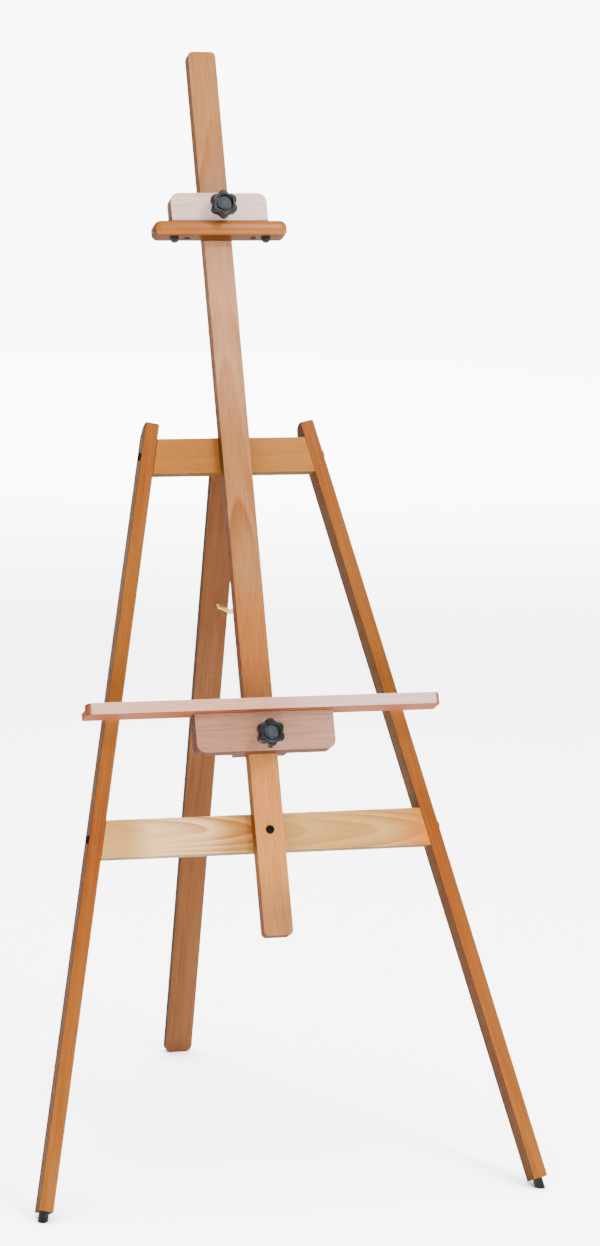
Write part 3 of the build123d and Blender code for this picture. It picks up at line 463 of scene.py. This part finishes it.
# ---------------------------------------------------------------------------
# Tray and top clamp. A canvas tray with a raised lip and a rounded ledge, each
# screwed to a plate that slides on the mast between side blocks and back strips.
# ---------------------------------------------------------------------------
PLATE_TONES = (screen_colour(156, 122, 106), screen_colour(149, 108, 87), screen_colour(128, 83, 61))
# Painted shade on the plates' edges and ends.
PLATE_PAINTED_SHADE = (0.22, 0.15, 0.11, 1.0)
# The tray's pale pink front faces are a painted sheen of the key light. The side tint takes all its other
# faces down to orange-brown, partly the wood's own tone and partly painted shade.
finish_node("canvas_tray", varnished_beech(
    "tray_beech", ACROSS, centre_of("canvas_tray"),
    (screen_colour(199, 172, 168), screen_colour(192, 149, 130), screen_colour(171, 117, 87)),
    pith=(0.03, 0.06), ring=0.006, figure=0.35,
    painted_side_shade=(0.3, 0.15, 0.08, 1.0), edge=(0.985, 0.8)))
finish_node("tray_front_plate", varnished_beech(
    "tray_plate_beech", ACROSS, centre_of("tray_front_plate"), PLATE_TONES,
    pith=(0.02, 0.04), ring=0.008, cant=(0.03, 0.02), figure=0.35, fleck=0.6, painted_side_shade=PLATE_PAINTED_SHADE))
# The top plate's pale pink is a painted sheen of the key light over its wood.
finish_node("top_front_plate", varnished_beech(
    "top_plate_beech", ACROSS, centre_of("top_front_plate"),
    (screen_colour(210, 188, 186), screen_colour(202, 174, 166), screen_colour(176, 138, 122)),
    pith=(0.03, 0.05), ring=0.008, cant=(0.03, 0.02), figure=0.25, fleck=0.5, painted_side_shade=PLATE_PAINTED_SHADE))
# Painted shade: the side tint darkens every face of the ledge turned away from the front.
finish_node("top_ledge", varnished_beech(
    "ledge_beech", ACROSS, centre_of("top_ledge"),
    (screen_colour(146, 92, 44), screen_colour(138, 81, 34), screen_colour(118, 62, 21)),
    pith=(0.02, 0.05), ring=0.007, figure=0.5, gloss=0.1, painted_side_shade=(0.2, 0.2, 0.22, 1.0), edge=(0.8, 0.1)))
hidden_beech = varnished_beech(
    "guide_beech", UPRIGHT, centre_of("mast"), PLATE_TONES, pith=(0.05, 0.06), ring=0.007, figure=0.4)
for node in ("tray_guide_blocks", "tray_back_strips", "top_guide_blocks", "top_back_strips",
             "alignment_dowels"):
    finish_node(node, hidden_beech)


# ---------------------------------------------------------------------------
# Star knobs. Black moulded plastic with six lobes, a hub behind, and a dark grey
# disc pressed into the recess at the front. Each turns on its clamp's stud.
# ---------------------------------------------------------------------------
KNOB_REACH = 0.0222                 # out to the tip of a lobe
KNOB_VALLEY = 0.0181                # out to the hollow between two lobes
KNOB_THICKNESS = 0.0150
KNOB_ROUNDING = 0.0030
KNOB_LOBES = 6
LOBE_FULLNESS = 0.65                # below 1 the lobes are broad, above 1 narrow
HUB_RADIUS = 0.0090
HUB_LENGTH = 0.0140
STUD_RING = 0.0046                  # ring of edges round the stud at the hub's end
RECESS_RADIUS = 0.0122
RECESS_DEPTH = 0.0030
CAP_RADIUS = 0.0106
CAP_THICKNESS = 0.0022
GROOVE_DEPTH = 0.0005               # of the ring groove in the cap
CAP_BEHIND_FACE = 0.0019            # cap's middle behind the knob's front face
OUTWARD = UPRIGHT @ Matrix.Rotation(math.radians(90.0), 3, "X")     # local Z to the frame's front


def step_in(mesh, face, rings):
    """Insets a flat end face once for each (radius, height), one ring inside the other."""
    for radius, height in rings:
        bmesh.ops.inset_individual(mesh, faces=[face], thickness=0.0002)
        for vert in face.verts:
            on_circle(vert, radius, height)


def flat_ends(mesh):
    """The many-sided end faces of a round piece, from the lowest up."""
    mesh.faces.ensure_lookup_table()
    ends = [face for face in mesh.faces if len(face.verts) > 60]
    return sorted(ends, key=lambda face: face.calc_center_median().z)


def set_in_place(piece, place):
    """Turns a finished piece to the front frame's slope and moves its mesh to its place."""
    bpy.context.view_layer.objects.active = piece
    piece.data.transform(Matrix.Translation(place) @ OUTWARD.to_4x4())
    piece.select_set(False)


def moulded(name, colour, roughness, grain, depth, specular):
    """Moulded plastic or rubber: a fine spark-eroded grain, with faint patches of a greyer tone."""
    material, tree, shader = new_surface(name)
    place = add_node(tree, "TexCoord").outputs["Object"]
    greyed = cloud(tree, place, 90.0, 2.0, 0.4, 0.7)
    lighter = tuple(min(1.0, channel * 1.5 + 0.004) for channel in colour[:3]) + (1.0,)
    tree.links.new(blend_colour(tree, "MIX", greyed, colour, lighter), shader.inputs["Base Color"])
    set_roughness(tree, shader, greyed, roughness, roughness + 0.12)
    shader.inputs["Specular IOR Level"].default_value = specular
    add_relief(tree, shader, cloud(tree, place, grain, 2.0, 0.3, 0.7), depth, 0.0002)
    return material


def make_star_knob(name, face_place):
    """The lobed head and its hub, shaped from a disc."""
    bpy.ops.mesh.primitive_cylinder_add(
        vertices=144, radius=KNOB_REACH, depth=KNOB_THICKNESS, location=(0.0, 0.0, -KNOB_THICKNESS / 2))
    knob = bpy.context.object
    knob.name = name
    bpy.ops.object.transform_apply(location=True, rotation=True, scale=True)
    mesh = open_mesh(knob)
    for vert in mesh.verts:
        angle = math.atan2(vert.co.y, vert.co.x)
        lobe = (0.5 + 0.5 * math.cos(KNOB_LOBES * (angle - math.radians(90.0)))) ** LOBE_FULLNESS
        reach = KNOB_VALLEY + (KNOB_REACH - KNOB_VALLEY) * lobe
        vert.co.x, vert.co.y = reach * math.cos(angle), reach * math.sin(angle)
    rims = [edge for edge in mesh.edges if abs(edge.verts[0].co.z - edge.verts[1].co.z) < 1e-6]
    bmesh.ops.bevel(mesh, geom=rims, offset=KNOB_ROUNDING, segments=5, profile=0.5, affect="EDGES")
    ends = flat_ends(mesh)
    back, front = ends[0], ends[-1]
    step_in(mesh, front, (
        (RECESS_RADIUS + 0.0006, 0.0), (RECESS_RADIUS, -0.0004), (RECESS_RADIUS - 0.0003, -RECESS_DEPTH)))
    hub_end = -KNOB_THICKNESS - HUB_LENGTH
    step_in(mesh, back, (
        (HUB_RADIUS + 0.0008, -KNOB_THICKNESS), (HUB_RADIUS, -KNOB_THICKNESS - 0.0008),
        (HUB_RADIUS, hub_end + 0.0006), (HUB_RADIUS - 0.0006, hub_end), (STUD_RING, hub_end)))
    close_mesh(mesh, knob)
    bpy.ops.object.shade_smooth_by_angle(angle=math.radians(35.0))
    set_in_place(knob, face_place)
    return knob


def make_knob_cap(name, middle):
    """The pressed-in disc, with a ring groove and a slightly domed middle."""
    bpy.ops.mesh.primitive_cylinder_add(vertices=96, radius=CAP_RADIUS, depth=CAP_THICKNESS)
    cap = bpy.context.object
    cap.name = name
    mesh = open_mesh(cap)
    top = CAP_THICKNESS / 2
    rim = [edge for edge in mesh.edges if all(vert.co.z > top - 1e-6 for vert in edge.verts)]
    bmesh.ops.bevel(mesh, geom=rim, offset=0.0005, segments=3, profile=0.5, affect="EDGES")
    step_in(mesh, flat_ends(mesh)[-1], (
        (0.0088, top), (0.0085, top - GROOVE_DEPTH), (0.0079, top - GROOVE_DEPTH), (0.0076, top),
        (0.0055, top + 0.00025), (0.0027, top + 0.0004), (0.0004, top + 0.00045)))
    close_mesh(mesh, cap)
    bpy.ops.object.shade_smooth_by_angle(angle=math.radians(30.0))
    set_in_place(cap, middle)
    return cap


black_plastic = moulded("black_plastic_moulded", screen_colour(7, 8, 10), 0.3, 2600.0, 0.12, specular=0.16)
grey_plastic = moulded("grey_cap_plastic", screen_colour(30, 37, 44), 0.4, 3200.0, 0.08, specular=0.15)
for clamp in ("tray", "top"):
    cap_middle = centre_of(clamp + "_knob_cap")
    knob = make_star_knob(clamp + "_star_knob", cap_middle + FORWARD * CAP_BEHIND_FACE)
    knob.data.materials.append(black_plastic)
    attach(knob, clamp + "_knob")
    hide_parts(clamp + "_knob")
    cap = make_knob_cap(clamp + "_star_knob_cap", cap_middle)
    cap.data.materials.append(grey_plastic)
    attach(cap, clamp + "_knob")
    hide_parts(clamp + "_knob_cap")
    finish_node(clamp + "_pressure_pad", black_plastic)


# ---------------------------------------------------------------------------
# Rubber. A black plug under each front leg, and two buffers under the ledge that
# rest on the canvas.
# ---------------------------------------------------------------------------
black_rubber = moulded("black_rubber_moulded", screen_colour(14, 14, 16), 0.55, 1800.0, 0.25, specular=0.15)
for node in ("left_foot", "right_foot", "ledge_bumpers"):
    finish_node(node, black_rubber)


# ---------------------------------------------------------------------------
# Metal fittings. Black bolts and screws where they show, zinc-plated steel for the
# hinge, studs and nuts, and brass for the inserts, the screw eyes and the chain.
# ---------------------------------------------------------------------------
LINE_TINT = (0.75, 0.75, 0.75, 1.0)


def fitting_metal(name, bright, dull, metallic, smooth, rough, brushed=(1.0, 1.0, 1.0), specular=0.5):
    """Metal whose plating has dulled in cloudy patches, with fine drawn lines in its sheen."""
    material, tree, shader = new_surface(name)
    place = add_node(tree, "TexCoord").outputs["Object"]
    patches = cloud(tree, place, 260.0, 4.0, 0.35, 0.7)
    lines = cloud(tree, stretch(tree, place, brushed), 1400.0, 2.0, 0.3, 0.7)
    colour = blend_colour(tree, "MIX", patches, bright, dull)
    colour = blend_colour(tree, "MULTIPLY", scaled(tree, lines, 0.25), colour, LINE_TINT)
    tree.links.new(colour, shader.inputs["Base Color"])
    shader.inputs["Metallic"].default_value = metallic
    shader.inputs["Specular IOR Level"].default_value = specular
    set_roughness(tree, shader, patches, smooth, rough)
    add_relief(tree, shader, lines, 0.1, 0.0001)
    return material


black_steel = fitting_metal(
    "blackened_steel", screen_colour(20, 20, 23), screen_colour(12, 11, 12), 0.0, 0.35, 0.5,
    specular=0.0)
zinc_steel = fitting_metal(
    "zinc_plated_steel", screen_colour(206, 208, 212), screen_colour(160, 160, 158), 1.0, 0.24, 0.45,
    brushed=(0.1, 1.0, 1.0))
brass = fitting_metal(
    "brass_wire", screen_colour(222, 190, 122), screen_colour(170, 134, 74), 1.0, 0.22, 0.42)
for metal, nodes in (
    (black_steel, ("mast_bolt", "connector_bolts", "tray_screws", "ledge_screws")),
    (zinc_steel, ("mast_screws", "mast_bolt_washer", "mast_bolt_nut", "barrel_nuts", "hinge_fixed_leaf",
                  "hinge_moving_leaf", "hinge_fixed_screws", "hinge_moving_screws", "hinge_pin",
                  "tray_guide_screws", "top_guide_screws", "tray_stud", "top_stud")),
    (brass, ("tray_insert", "top_insert", "mast_eye", "rear_leg_eye", "chain_front_half", "chain_rear_half")),
):
    for node in nodes:
        finish_node(node, metal)
